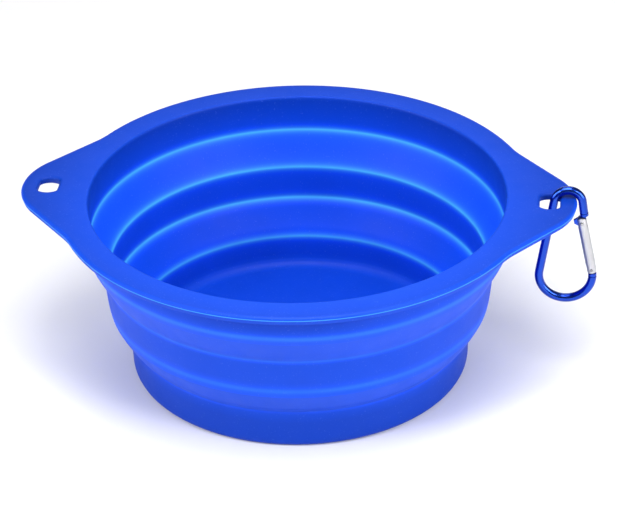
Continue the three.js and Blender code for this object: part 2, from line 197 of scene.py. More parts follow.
# Gate, its pins and its spring; the parts are of a radius, and the fall is of the dome's height
GATE_RADIUS = (gate_high.y - gate_low.y) / 2
HINGE_INSET = 1.2 * MM
GATE_END_RADIUS = 2.1 * MM
GATE_GAP = 0.4 * MM
GATE_END_ROUND = 0.25 * MM
TANG_THICKNESS = 1.2 * MM
TANG_REACH = 3.0 * MM
TANG_HEIGHT = 1.3 * MM
TANG_FOOT = 0.1 * MM
TANG_TIP_RADIUS = 1.35 * MM
SLOT_CLEARANCE = 0.3 * MM
PIN_CLEARANCE = 0.1 * MM
HINGE_PIN_RADIUS = 0.6 * MM
LATCH_PIN_RADIUS = 0.5 * MM
PIN_DOME = 0.15 * MM
PIN_DOME_PART = 0.7
PIN_DOME_FALL = 0.3
RIVET_HEAD_RADIUS = 0.85 * MM
RIVET_DOME = 0.32 * MM
RIVET_DOME_PARTS = (0.35, 0.6, 0.8, 0.93, 1)
RIVET_SEAT = 0.3 * MM
LATCH_RISE = 1.9 * MM
NOTCH_CLEARANCE = 0.3 * MM
NOSE_HOOK = 1 * MM
SPRING_RADIUS = 0.85 * MM
SPRING_WIRE = 0.35 * MM
SPRING_PITCH = 0.88 * MM
SPRING_TURNS = 6
BORE_CLEARANCE = 0.2 * MM

# Heights along the gate, from the hinge pin; the gate leans from there to the end of the leg
PIN_DROP = STUB_LENGTH + GATE_GAP + GATE_END_RADIUS
GATE_LEAN = math.atan2(HINGE_INSET, LEG_LENGTH - PIN_DROP)
SHOULDER = GATE_GAP + GATE_END_RADIUS
NOSE_BASE = -math.hypot(HINGE_INSET, LEG_LENGTH - PIN_DROP)
GATE_FOOT = NOSE_BASE + GATE_GAP
LATCH_Z = NOSE_BASE + LATCH_RISE
NOTCH_HALF = LATCH_PIN_RADIUS + NOTCH_CLEARANCE
NOSE_TOP = LATCH_Z + NOTCH_HALF + NOSE_HOOK
SLOT_WIDTH = TANG_THICKNESS + 2 * SLOT_CLEARANCE
SLOT_FOOT = -math.hypot(TANG_TIP_RADIUS, TANG_TIP_RADIUS) - SLOT_CLEARANCE
SPRING_TOP = -TANG_TIP_RADIUS - SLOT_CLEARANCE - SPRING_WIRE
BORE_FOOT = SPRING_TOP - SPRING_PITCH * SPRING_TURNS - SPRING_WIRE
GATE = Matrix.Translation(HINGE) @ Matrix.Rotation(-LEG_SPREAD - GATE_LEAN, 4, "Y")

# Fineness of the carabiner's meshes
ROD_FACETS = 36
ROD_STEP = 0.35 * MM
ROD_ARCH_STEPS = 48
ROD_BEND_STEPS = 90
TANG_TIP_STEPS = 10
PIN_FACETS = 32
WIRE_FACETS = 10
SPRING_TURN_STEPS = 24
LENGTH_TOLERANCE = 1e-9
WELD = 0.002 * MM

# An odd number, so that no point of the gate's curved end lies on the gate's own axis
GATE_END_STEPS = 25

# Edges that are sharper than this stay sharp
SMOOTH_ANGLE = math.radians(38)

# Where the photograph was taken from
CAMERA_AZIMUTH = math.radians(6.36)
CAMERA_ELEVATION = math.radians(30.83)
CAMERA_ROLL = math.radians(-1.19)
CAMERA_DISTANCE = 0.9868
CAMERA_AIM = Vector((0.00533, -0.01367, 0.04825))
SENSOR_WIDTH = 36
IMAGE_WIDTH = 617
FOCAL_PIXELS = 2600

# Studio: where most of the lights aim, the light from all round, and the floor
LIGHT_AIM = (0, 0, 0.05)
WORLD_STRENGTH = 0.22
STAGE_HALF_WIDTH = 4
STAGE_SEGMENTS = 4

# Colours in linear light: of the silicone from its deepest painted shade through its plain blue and its
# painted lighter web to its painted glow, of its bloom with painted sheen and its dust, and a darker and a
# lighter one of each other finish
SILICONE_DEEP = (0.001, 0.027, 0.265)
SILICONE_BLUE = (0.002, 0.052, 0.53)
SILICONE_WEB = (0.004, 0.066, 0.70)
SILICONE_PAINTED_GLOW = (0.06, 0.40, 0.75)
SILICONE_BLOOM_AND_SHEEN = (0.011, 0.066, 0.56)
DUST = (0.08, 0.17, 0.62)
ANODISED_DARK = (0.003, 0.040, 0.37)
ANODISED_LIGHT = (0.005, 0.056, 0.48)
ALUMINIUM_DARK = (0.44, 0.44, 0.465)
ALUMINIUM_LIGHT = (0.56, 0.56, 0.58)
STEEL_DARK = (0.30, 0.30, 0.31)
STEEL_LIGHT = (0.46, 0.46, 0.47)
FLOOR_DARK = (0.885, 0.885, 0.89)
FLOOR_LIGHT = (0.90, 0.90, 0.905)

# Sockets of the colour mix node
MIX_SHARE = 0
MIX_COLOURS = (6, 7)
MIX_RESULT = 2


def bend(start, corner, end, steps=BEND_STEPS):
    """Points on the smooth bend from start to end round a corner."""
    points = []
    for i in range(steps + 1):
        t = i / steps
        points.append(start * (1 - t) ** 2 + corner * (2 * t * (1 - t)) + end * t**2)
    return points


def rounded(corners):
    """A line through corners (radius, height, cut), each one rounded from cut before it to cut after it."""
    line = []
    for i, (radius, height, cut) in enumerate(corners):
        corner = Vector((radius, height))
        if cut == 0:
            line.append(corner)
            continue
        ends = []
        for near in (corners[i - 1], corners[i + 1]):
            side = Vector(near[:2]) - corner
            ends.append(corner + side.normalized() * min(cut, side.length / 2))
        line += bend(ends[0], corner, ends[1])
    return line


def spaced(line, longest=WALL_STEP):
    """The same line with points added, so that no two neighbours lie further apart than longest."""
    points = [line[0]]
    for a, b in zip(line, line[1:]):
        steps = max(1, math.ceil((b - a).length / longest))
        points += [a.lerp(b, (k + 1) / steps) for k in range(steps)]
    return points


def arc(centre, radius, start, end, steps):
    """Points on an arc, both ends included."""
    angles = [start + (end - start) * i / steps for i in range(steps + 1)]
    return [centre + Vector((math.cos(a), math.sin(a))) * radius for a in angles]


def point(bm, place, painted_light=WALL_PLAIN, bloom_and_sheen=0):
    """A new point that stores its painted light and shade, and its bloom with painted sheen, for the
    material.
    """
    made = bm.verts.new(place)
    made[bm.verts.layers.float.get("painted_light")] = painted_light
    made[bm.verts.layers.float.get("bloom_and_sheen")] = bloom_and_sheen
    return made


def ring(bm, radius, height, painted_light=WALL_PLAIN, bloom_and_sheen=0):
    """A closed row of points round the bowl's axis."""
    row = []
    for i in range(AZIMUTH_STEPS):
        angle = 2 * math.pi * i / AZIMUTH_STEPS
        row.append(point(bm, (radius * math.cos(angle), radius * math.sin(angle), height), painted_light, bloom_and_sheen))
    return row


def stitch(bm, row_a, row_b):
    """Quads between two closed rows with equally many points."""
    count = len(row_a)
    for i in range(count):
        j = (i + 1) % count
        bm.faces.new((row_a[i], row_a[j], row_b[j], row_b[i]))


def stitch_all(bm, rows):
    """Quads between each row and the next."""
    for row_a, row_b in zip(rows, rows[1:]):
        stitch(bm, row_a, row_b)


def fill_flat(bm, outer, holes):
    """Triangles on a flat face between its outer row and the rows round its holes, which bulge outwards."""
    rows = [outer, *holes]
    verts = [v for row in rows for v in row]
    row_of = [n for n, row in enumerate(rows) for _ in row]
    edges = []
    for row in rows:
        first = len(edges)
        edges += [(first + i, first + (i + 1) % len(row)) for i in range(len(row))]
    plan = [v.co.xy for v in verts]
    faces, origins = delaunay_2d_cdt(plan, edges, [], FILL_INSIDE, FILL_TOLERANCE)[2:4]
    sources = [origin[0] for origin in origins]
    for face in faces:
        corners = [sources[k] for k in face]
        owners = {row_of[k] for k in corners}
        if len(owners) > 1 or owners == {0}:
            bm.faces.new([verts[k] for k in corners])


def finish_mesh(name, bm):
    """A mesh object from bm, smooth except at its sharp edges."""
    bmesh.ops.recalc_face_normals(bm, faces=bm.faces)
    mesh = bpy.data.meshes.new(name)
    bm.to_mesh(mesh)
    bm.free()
    mesh.shade_smooth()
    mesh.set_sharp_from_angle(angle=SMOOTH_ANGLE)
    made = bpy.data.objects.new(name, mesh)
    bpy.context.scene.collection.objects.link(made)
    return made


# The silicone bowl


def fold_web(low, high, side):
    """One face of a bowed fold from its lower to its upper end: side is -1 inside the bowl and 1 outside."""
    rise = (high - low).normalized().y
    corners = []
    for part in WEB_PARTS:
        across = (FOLD_BOW * 4 * part * (1 - part) + side * FOLD_WALL / 2) / rise
        corners.append((*(low.lerp(high, part) + Vector((across, 0))), WEB_ROUND))
    return corners


UPPER_WEB_LOW = Vector((MIDDLE_BORE + RING_WALL / 2, MIDDLE_TOP))
UPPER_WEB_HIGH = Vector((MOUTH_RADIUS + RING_WALL / 2, UPPER_FOOT))
LOWER_WEB_LOW = Vector((CUP_BORE + CUP_WALL / 2, CUP_TOP))
LOWER_WEB_HIGH = Vector((MIDDLE_BORE + (RING_WALL - MIDDLE_DRAFT) / 2, MIDDLE_FOOT))

# Fold lines as (radius, height), from the top one down: inside the bowl below each edge, outside above it
INNER_CREASES = [
    (MOUTH_RADIUS, UPPER_FOOT - CREASE_SHIFT),
    (MIDDLE_BORE, MIDDLE_TOP - CREASE_SHIFT),
    (MIDDLE_BORE, MIDDLE_FOOT - CREASE_SHIFT),
    (CUP_BORE, CUP_TOP - CREASE_SHIFT),
]
OUTER_CREASES = [
    (UPPER_OUTER, UPPER_FOOT + CREASE_SHIFT),
    (MIDDLE_OUTER, MIDDLE_TOP + CREASE_SHIFT),
    (MIDDLE_FOOT_OUTER, MIDDLE_FOOT + CREASE_SHIFT),
    (CUP_OUTER, CUP_TOP + CREASE_SHIFT),
]


def upper_inside():
    """The upper bowl's inner face, from the seam up to the flat of the rim."""
    return rounded([
        (MIDDLE_BORE, SEAM, 0),
        (*INNER_CREASES[1], CREASE_ROUND),
        *fold_web(UPPER_WEB_LOW, UPPER_WEB_HIGH, -1),
        (*INNER_CREASES[0], CREASE_ROUND),
        (MOUTH_RADIUS, RIM_TOP, MOUTH_ROUND),
        (MOUTH_RADIUS + MOUTH_ROUND + FLAT_MARGIN, RIM_TOP, 0),
    ])


def upper_outside():
    """The upper bowl's outer face, from the flat under the rim down to the seam."""
    return rounded([
        (UPPER_OUTER + UNDER_RIM_FILLET + FLAT_MARGIN, RIM_TOP - RIM_THICKNESS, 0),
        (UPPER_OUTER, RIM_TOP - RIM_THICKNESS, UNDER_RIM_FILLET),
        (*OUTER_CREASES[0], RIDGE_ROUND),
        *reversed(fold_web(UPPER_WEB_LOW, UPPER_WEB_HIGH, 1)),
        (*OUTER_CREASES[1], FOOT_CREASE_ROUND),
        (SEAM_OUTER, SEAM, 0),
    ])


def lower_inside():
    """The lower bowl's inner face, from the seam down to the floor's edge."""
    return rounded([
        (MIDDLE_BORE, SEAM, 0),
        (*INNER_CREASES[2], CREASE_ROUND),
        *reversed(fold_web(LOWER_WEB_LOW, LOWER_WEB_HIGH, -1)),
        (*INNER_CREASES[3], CREASE_ROUND),
        (CUP_BORE - CUP_TAPER, FLOOR_WALL, FLOOR_CORNER),
        (CUP_BORE - CUP_TAPER - 2 * FLOOR_CORNER, FLOOR_WALL, 0),
    ])


def lower_outside():
    """The lower bowl's outer face, from the underside's edge up to the seam."""
    return rounded([
        (CUP_OUTER - CUP_TAPER - 2 * FOOT_ROUND, 0, 0),
        (CUP_OUTER - CUP_TAPER, 0, FOOT_ROUND),
        (*OUTER_CREASES[3], FOOT_CREASE_ROUND),
        *fold_web(LOWER_WEB_LOW, LOWER_WEB_HIGH, 1),
        (*OUTER_CREASES[2], RIDGE_ROUND),
        (SEAM_OUTER, SEAM, 0),
    ])


def share(value, low, high):
    """How far value has gone from low to high, from 0 to 1."""
    return min(max((value - low) / (high - low), 0), 1)


def faded(start, end, part):
    """The value that lies a part of the way from start to end."""
    return start + (end - start) * part


def on_web(height, creases, band=0):
    """Which web a height lies on, 0 or 1 from above, or None; webs start a band below their upper edges."""
    first, second, third, fourth = [crease[1] for crease in creases]
    if second < height < first - band:
        return 0
    if fourth < height < third - band:
        return 1
    return None


def painted_light_inside(place):
    """Painted light and shade inside: painted shade below the mouth, painted light on the folds, a painted
    glow along their lines.
    """
    # Painted shade below the mouth, fading down to the plain wall, and darker still on the mouth's round
    painted_light = faded(ROOT_PAINTED_SHADE, WALL_PLAIN, share(RIM_TOP - MOUTH_ROUND - place.y, 0, ROOT_DEPTH))
    if place.y > RIM_TOP - MOUTH_ROUND:
        painted_light = faded(MOUTH_PAINTED_SHADE, ROOT_PAINTED_SHADE, share(RIM_TOP - place.y, 0, MOUTH_ROUND / 2))
    # Painted light inside the middle ring and on the folds
    if MIDDLE_FOOT < place.y < MIDDLE_TOP:
        painted_light = INNER_MIDDLE_PAINTED_LIGHT
    web = on_web(place.y, INNER_CREASES)
    if web is not None:
        painted_light = (WEB_PAINTED_LIGHT, INNER_LOWER_PAINTED_LIGHT)[web]
    # A painted glow of light through the thin fold lines, with a wider painted halo
    glow = 0
    for crease, strength in zip(INNER_CREASES, INNER_GLOWS):
        away = (place - Vector(crease)).length
        line = strength * math.exp(-away / INNER_GLOW_REACH)
        glow = max(glow, line + INNER_HALO * math.exp(-away / INNER_HALO_REACH))
    return min(painted_light + (1 - painted_light) * glow, 1)


def painted_light_outside(place):
    """The same outside: painted shade under the rim and on the cup, a painted highlight above the round
    ridges, painted light on the webs, and only a little more at the fold lines.
    """
    # Painted shade on the cup, fading up to the plain wall, and painted shade under the rim's overhang
    painted_light = faded(CUP_PAINTED_SHADE, WALL_PLAIN, share(place.y, CUP_TOP - CUP_FADE, CUP_TOP))
    below_rim = share(RIM_TOP - RIM_THICKNESS - place.y, 0, UNDER_RIM_DEPTH)
    painted_light = min(painted_light, faded(UNDER_RIM_PAINTED_SHADE, WALL_PLAIN, below_rim))
    # A painted highlight above the round ridges
    for edge in OUTER_CREASES[::2]:
        if place.y > edge[1]:
            painted_light += RIDGE_PAINTED_HIGHLIGHT * (1 - share(place.y, edge[1], edge[1] + EDGE_REACH))
    # Painted light on the thin webs
    if on_web(place.y, OUTER_CREASES) is not None:
        painted_light = WEB_PAINTED_LIGHT
    # A little painted glow and painted highlight along the fold lines
    glow = 0
    for crease, strength in zip(OUTER_CREASES, OUTER_GLOWS):
        glow = max(glow, strength * math.exp(-((place - Vector(crease)).length / OUTER_GLOW_REACH) ** 2))
    return painted_light + (1 - painted_light) * glow


def bloom_and_sheen_outside(place):
    """The bloom of the outer face, partly a duller surface and partly a painted sheen, on the webs below the
    round edges that they hang from.
    """
    web = on_web(place.y, OUTER_CREASES, RIDGE_BAND)
    return 0 if web is None else (UPPER_BLOOM_AND_SHEEN, LOWER_BLOOM_AND_SHEEN)[web]


def inner_wall(bm, line):
    """Rows of points round the bowl along a line of its inner face."""
    return [ring(bm, *place, painted_light_inside(place)) for place in spaced(line)]


def outer_wall(bm, line):
    """Rows of points round the bowl along a line of its outer face."""
    return [ring(bm, *place, painted_light_outside(place), bloom_and_sheen_outside(place)) for place in spaced(line)]


def rim_quarter():
    """A quarter of the rim's plan: ear tip, straight flank, soft blend and round rim."""
    tip_centre = Vector((EAR_TIP - EAR_TIP_RADIUS, 0))
    root_angle = math.asin(EAR_HALF_WIDTH / RIM_RADIUS)
    root = Vector((RIM_RADIUS * math.cos(root_angle), EAR_HALF_WIDTH))
    to_root = root - tip_centre
    flank_normal = math.atan2(to_root.y, to_root.x) - math.acos(EAR_TIP_RADIUS / to_root.length)
    tip = arc(tip_centre, EAR_TIP_RADIUS, 0, flank_normal, EAR_TIP_STEPS)
    flank = (root - tip[-1]).normalized()
    rim_start = root_angle + EAR_BLEND / RIM_RADIUS
    rim = arc(Vector((0, 0)), RIM_RADIUS, rim_start, math.pi / 2, RIM_QUARTER_STEPS)
    blend = bend(root - flank * EAR_BLEND, root, rim[0], EAR_BLEND_STEPS)
    return [*spaced([*tip, blend[0]], FLANK_STEP), *blend[1:-1], *rim]


def mirrored(points, x, y):
    """The points with their coordinates times x and y, each 1 or -1, in the opposite order."""
    return [Vector((p.x * x, p.y * y)) for p in reversed(points)]


def rim_plan():
    """The whole plan of the rim with both ears, anticlockwise."""
    quarter = rim_quarter()
    half = [*quarter, *mirrored(quarter[:-1], -1, 1)]
    return [*half, *mirrored(half[1:-1], 1, -1)]


def hole_plan(side):
    """The plan of one ear's hole, anticlockwise: straight sides, bowed ends and small rounded corners."""
    middle = side * (EAR_TIP - EAR_STRIP - HOLE_WIDTH / 2)
    end_radius = (HOLE_WIDTH**2 / 4 + HOLE_END_RISE**2) / (2 * HOLE_END_RISE)
    centre = Vector((0, HOLE_LENGTH / 2 - end_radius))
    corner = math.acos(HOLE_WIDTH / 2 / end_radius)
    turn = HOLE_CORNER / end_radius
    bow = arc(centre, end_radius, corner + turn, math.pi - corner - turn, HOLE_BOW_STEPS)
    far = Vector((-HOLE_WIDTH / 2, centre.y + end_radius * math.sin(corner)))
    drop = Vector((0, -HOLE_CORNER))
    half = [*bow, *bend(bow[-1], far, far + drop)[1:]]
    near = mirrored(half[len(bow):], -1, 1)
    top = [*near, *half]
    whole = [*top, *mirrored(top, 1, -1)]
    return [p + Vector((middle, 0)) for p in whole]


def flange_painted_shade(place):
    """Painted shade on the flange at a place of its plan: darker towards the ears' tips."""
    return faded(RIM_PAINTED_SHADE, EAR_TIP_PAINTED_SHADE, share(place.length, RIM_RADIUS, EAR_TIP))


def edge_section(ridge, top_painted_light, wall_painted_light, line_painted_light):
    """The section of an edge of the flange as (inset, height, painted light and shade), from the flat top to
    the underside.
    """
    parting = RIM_TOP - PARTING_DROP
    under = RIM_TOP - RIM_THICKNESS
    section = [(EDGE_TOP_ROUND + FLAT_MARGIN, RIM_TOP, top_painted_light)]
    for i in range(BEND_STEPS + 2):
        turn = math.pi / 2 * i / (BEND_STEPS + 1)
        inset = EDGE_TOP_ROUND * (1 - math.sin(turn))
        height = RIM_TOP - PARTING_DROP * (1 - math.cos(turn))
        section.append((inset, height, faded(top_painted_light, wall_painted_light, math.sin(turn))))
    # The parting ridge takes the line's value: a painted highlight on the rim's edge, painted shade in the
    # ear holes
    section += [
        (-ridge, parting - PARTING_STEP, line_painted_light),
        (-ridge, parting - PARTING_HEIGHT + PARTING_STEP, line_painted_light),
        (LIP_INSET, parting - PARTING_HEIGHT, wall_painted_light),
        (LIP_INSET + LIP_DRAFT, under + LIP_ROUND, wall_painted_light),
        (LIP_INSET + LIP_DRAFT + LIP_ROUND / 4, under + LIP_ROUND / 4, wall_painted_light),
        (LIP_INSET + LIP_DRAFT + LIP_ROUND, under, WALL_PLAIN),
        (LIP_INSET + LIP_DRAFT + LIP_ROUND + FLAT_MARGIN, under, WALL_PLAIN),
    ]
    return section


def edge_rows(bm, plan, into, ridge, wall_painted_light, line_painted_light):
    """Rows of points down an edge of the flange; into is -1 if the plan goes round the material, else 1."""
    count = len(plan)
    normals = []
    for i in range(count):
        tangent = plan[(i + 1) % count] - plan[i - 1]
        normals.append(Vector((tangent.y, -tangent.x)).normalized() * into)
    rows = []
    sections = [edge_section(ridge, flange_painted_shade(p), wall_painted_light, line_painted_light) for p in plan]
    for level in zip(*sections):
        row = []
        for p, n, (inset, height, painted_light) in zip(plan, normals, level):
            row.append(point(bm, (*(p + n * inset), height), painted_light))
        rows.append(row)
    return rows


def new_skin():
    """An empty mesh whose points store their painted light and shade, and their bloom with painted sheen."""
    bm = bmesh.new()
    bm.verts.layers.float.new("painted_light")
    bm.verts.layers.float.new("bloom_and_sheen")
    return bm


def upper_bowl():
    """Rim with ears, upper ring, upper fold and the upper half of the middle ring, in one skin."""
    bm = new_skin()
    inside = inner_wall(bm, upper_inside())
    outside = outer_wall(bm, upper_outside())
    # The rim's edge with a painted highlight on its parting ridge; the holes' walls in painted shade
    rim = edge_rows(bm, rim_plan(), -1, PARTING_RIDGE, WALL_PLAIN, PARTING_PAINTED_HIGHLIGHT)
    holes = [edge_rows(bm, hole_plan(side), 1, 0, HOLE_PAINTED_SHADE, HOLE_PAINTED_SHADE) for side in (-1, 1)]
    for rows in (inside, outside, rim, *holes):
        stitch_all(bm, rows)
    fill_flat(bm, rim[0], [inside[-1], *(rows[0] for rows in holes)])
    fill_flat(bm, rim[-1], [outside[0], *(rows[-1] for rows in holes)])
    stitch(bm, outside[-1], inside[0])
    return finish_mesh("upper_bowl", bm)


def lower_bowl():
    """The lower half of the middle ring, the lower fold and the base cup, in one skin."""
    bm = new_skin()
    inside = inner_wall(bm, lower_inside())
    outside = outer_wall(bm, lower_outside())
    stitch_all(bm, inside)
    stitch_all(bm, outside)
    stitch(bm, inside[0], outside[-1])
    close_disc(bm, inside[-1])
    close_disc(bm, outside[0])
    return finish_mesh("lower_bowl", bm)


def close_disc(bm, row):
    """A flat round floor inside a row, in shrinking rings with a fan in the middle."""
    height = row[0].co.z
    radius = row[0].co.xy.length
    steps = math.floor(radius / FLOOR_STEP)
    rows = [row]
    for i in range(1, steps):
        rows.append(ring(bm, radius * (1 - i / steps), height))
    stitch_all(bm, rows)
    centre = point(bm, (0, 0, height))
    last = rows[-1]
    for i in range(len(last)):
        bm.faces.new((last[i], last[(i + 1) % len(last)], centre))


# The carabiner


def tube(name, points, normals, radii, facets=ROD_FACETS):
    """A closed tube along points, with a normal and a radius at each of them."""
    bm = bmesh.new()
    rows = []
    count = len(points)
    for i in range(count):
        tangent = (points[min(i + 1, count - 1)] - points[max(i - 1, 0)]).normalized()
        across = normals[i] - tangent * normals[i].dot(tangent)
        across.normalize()
        side = tangent.cross(across)
        row = []
        for k in range(facets):
            turn = 2 * math.pi * k / facets
            row.append(bm.verts.new(points[i] + (across * math.cos(turn) + side * math.sin(turn)) * radii[i]))
        rows.append(row)
    stitch_all(bm, rows)
    bm.faces.new(rows[0])
    bm.faces.new(rows[-1])
    return finish_mesh(name, bm)


def on_leg(down, side):
    """A point on one of the rod's two straight legs, down from the arch."""
    x = ARCH_RADIUS * math.cos(LEG_SPREAD) + down * math.sin(LEG_SPREAD)
    return HANG + Vector((side * x, 0, ARCH_RADIUS * math.sin(LEG_SPREAD) - down * math.cos(LEG_SPREAD)))


def on_arc(drop, radius, angle):
    """A point on an arc in the rod's plane, whose centre lies a drop below the swing's axis."""
    return HANG + Vector((radius * math.cos(angle), 0, radius * math.sin(angle) - drop))


def rod_line():
    """The rod's centre line: hinge stub, narrow arch, spine and wide bend."""
    corners = [on_leg(STUB_LENGTH, 1)]
    for i in range(ROD_ARCH_STEPS + 1):
        angle = LEG_SPREAD + (math.pi - 2 * LEG_SPREAD) * i / ROD_ARCH_STEPS
        corners.append(on_arc(0, ARCH_RADIUS, angle))
    for i in range(ROD_BEND_STEPS + 1):
        angle = math.pi - LEG_SPREAD + (math.pi + 2 * LEG_SPREAD) * i / ROD_BEND_STEPS
        corners.append(on_arc(BEND_DROP, BEND_RADIUS, angle))
    return spaced(corners, ROD_STEP)


def end_relief(distance):
    """How much thinner the rod is at a distance from one of its ends: a chamfer, then a collar's groove."""
    if distance < END_CHAMFER:
        return END_CHAMFER - distance
    if abs(distance - COLLAR_LENGTH) < COLLAR_GROOVE / 2:
        return COLLAR_DEPTH
    return 0


def point_at(line, lengths, place):
    """The point at a distance along a line whose distances are given."""
    for i in range(1, len(line)):
        if place <= lengths[i] + LENGTH_TOLERANCE:
            span = lengths[i] - lengths[i - 1]
            return line[i - 1].lerp(line[i], (place - lengths[i - 1]) / span)
    return line[-1]


def carabiner_rod():
    """The bent rod, with chamfered ends and a collar turned near each end."""
    line = rod_line()
    lengths = [0]
    for a, b in zip(line, line[1:]):
        lengths.append(lengths[-1] + (b - a).length)
    marks = [0, END_CHAMFER]
    for edge in COLLAR_EDGES:
        marks.append(COLLAR_LENGTH + COLLAR_GROOVE * edge)
    total = lengths[-1]
    places = sorted({*lengths, *marks, *(total - m for m in marks)})
    points = [point_at(line, lengths, place) for place in places]
    radii = [ROD_RADIUS - end_relief(min(place, total - place)) for place in places]
    return tube("carabiner_rod", points, [Vector((0, 1, 0))] * len(points), radii)


def plate(name, outline, thickness):
    """A flat plate with its outline in the plane of X and Z of the gate."""
    bm = bmesh.new()
    rows = []
    for side in (-0.5, 0.5):
        rows.append([bm.verts.new((x, side * thickness, z)) for x, z in outline])
    bm.faces.new(rows[0])
    bm.faces.new(rows[1])
    stitch(bm, rows[0], rows[1])
    return finish_mesh(name, bm)


def lathe(name, section, facets=PIN_FACETS, axis="Z"):
    """A solid turned about its own Z, or about Y, from a section (radius, height) that ends on the axis."""
    bm = bmesh.new()
    rows = []
    for radius, height in section:
        if radius == 0:
            rows.append([bm.verts.new((0, 0, height))])
            continue
        turns = [2 * math.pi * k / facets for k in range(facets)]
        rows.append([bm.verts.new((radius * math.cos(t), radius * math.sin(t), height)) for t in turns])
    for row_a, row_b in zip(rows, rows[1:]):
        if len(row_a) == len(row_b):
            stitch(bm, row_a, row_b)
            continue
        pole, row = (row_a[0], row_b) if len(row_a) == 1 else (row_b[0], row_a)
        for k in range(facets):
            bm.faces.new((row[k], row[(k + 1) % facets], pole))
    if axis == "Y":
        bmesh.ops.rotate(bm, verts=bm.verts, matrix=Matrix.Rotation(math.pi / 2, 3, "X"))
    return finish_mesh(name, bm)


def combine(base, tools, operation):
    """Joins tools to base, or cuts them from it, welds points that coincide, and removes the tools."""
    for tool in tools:
        modifier = base.modifiers.new("join", "BOOLEAN")
        modifier.operation = operation
        modifier.solver = "EXACT"
        modifier.object = tool
    graph = bpy.context.evaluated_depsgraph_get()
    mesh = bpy.data.meshes.new_from_object(base.evaluated_get(graph))
    base.modifiers.clear()
    bm = bmesh.new()
    bm.from_mesh(mesh)
    bmesh.ops.remove_doubles(bm, verts=bm.verts, dist=WELD)
    bmesh.ops.dissolve_degenerate(bm, dist=WELD, edges=bm.edges)
    bm.to_mesh(mesh)
    bm.free()
    base.data = mesh
    for tool in tools:
        bpy.data.objects.remove(tool)
    mesh.shade_smooth()
    mesh.set_sharp_from_angle(angle=SMOOTH_ANGLE)
    return base


def tang():
    """The flattened end of the rod that the gate turns on."""
    tip = arc(Vector((0, 0)), TANG_TIP_RADIUS, 0, -math.pi / 2, TANG_TIP_STEPS)
    return plate("tang", [
        (HINGE_INSET + TANG_TIP_RADIUS, SHOULDER + ROD_RADIUS),
        *tip,
        (-TANG_TIP_RADIUS, -TANG_TIP_RADIUS),
        (-TANG_REACH, -TANG_FOOT),
        (-TANG_REACH, TANG_HEIGHT),
        (HINGE_INSET - TANG_TIP_RADIUS, SHOULDER),
        (HINGE_INSET - TANG_TIP_RADIUS, SHOULDER + ROD_RADIUS),
    ], TANG_THICKNESS)


def nose():
    """The flattened end that the gate closes on: a hook whose notch is open on the inner side."""
    return plate("nose", [
        (-TANG_TIP_RADIUS, NOSE_BASE - ROD_RADIUS),
        (TANG_TIP_RADIUS, NOSE_BASE - ROD_RADIUS),
        (TANG_TIP_RADIUS, NOSE_TOP - NOSE_HOOK / 2),
        (TANG_TIP_RADIUS - NOSE_HOOK / 2, NOSE_TOP),
        (-NOTCH_HALF, NOSE_TOP),
        (-NOTCH_HALF, LATCH_Z + NOTCH_HALF),
        (NOTCH_HALF, LATCH_Z + NOTCH_HALF),
        (NOTCH_HALF, LATCH_Z - NOTCH_HALF),
        (-TANG_TIP_RADIUS, LATCH_Z - NOTCH_HALF),
    ], TANG_THICKNESS)


def pin_hole(radius, height):
    """A round bar across the gate, for cutting a pin's hole."""
    reach = 2 * GATE_RADIUS
    section = [(0, -reach), (radius + PIN_CLEARANCE, -reach), (radius + PIN_CLEARANCE, reach), (0, reach)]
    bar = lathe("pin_hole", section, axis="Y")
    bar.data.transform(Matrix.Translation((0, 0, height)))
    return bar


def carabiner_frame():
    """The rod with its flattened ends and the hinge pin's hole."""
    rod = carabiner_rod()
    ends = [tang(), nose()]
    hole = pin_hole(HINGE_PIN_RADIUS, 0)
    for tool in (*ends, hole):
        tool.data.transform(GATE)
    combine(rod, ends, "UNION")
    return combine(rod, [hole], "DIFFERENCE")


def slot(top, foot):
    """A slot across the gate, open on both sides."""
    reach = 2 * GATE_RADIUS
    return plate("slot", [(-reach, foot), (reach, foot), (reach, top), (-reach, top)], SLOT_WIDTH)


def carabiner_gate():
    """The gate: a round bar, its top end curved about the hinge pin, slotted for the tang and the nose."""
    section = rounded([
        (0, GATE_FOOT, 0),
        (GATE_RADIUS, GATE_FOOT, GATE_END_ROUND),
        (GATE_RADIUS, 2 * GATE_END_RADIUS, 0),
        (0, 2 * GATE_END_RADIUS, 0),
    ])
    bar = lathe("gate", section, ROD_FACETS)
    side = math.acos(GATE_RADIUS / GATE_END_RADIUS)
    top = arc(Vector((0, 0)), GATE_END_RADIUS, side, math.pi - side, GATE_END_STEPS)
    wide = 2 * GATE_RADIUS
    body = plate("body", [
        (wide, top[0].y),
        *top,
        (-wide, top[0].y),
        (-wide, 2 * GATE_FOOT),
        (wide, 2 * GATE_FOOT),
    ], 2 * wide)
    bore_radius = SPRING_RADIUS + BORE_CLEARANCE
    bore = lathe("bore", [(0, BORE_FOOT), (bore_radius, BORE_FOOT), (bore_radius, 0), (0, 0)])
    combine(bar, [body], "INTERSECT")
    combine(bar, [
        slot(3 * GATE_END_RADIUS, SLOT_FOOT),
        slot(NOSE_TOP + SLOT_CLEARANCE, 2 * GATE_FOOT),
        bore,
        pin_hole(HINGE_PIN_RADIUS, 0),
        pin_hole(LATCH_PIN_RADIUS, LATCH_Z),
    ], "DIFFERENCE")
    bar.data.transform(GATE)
    return bar


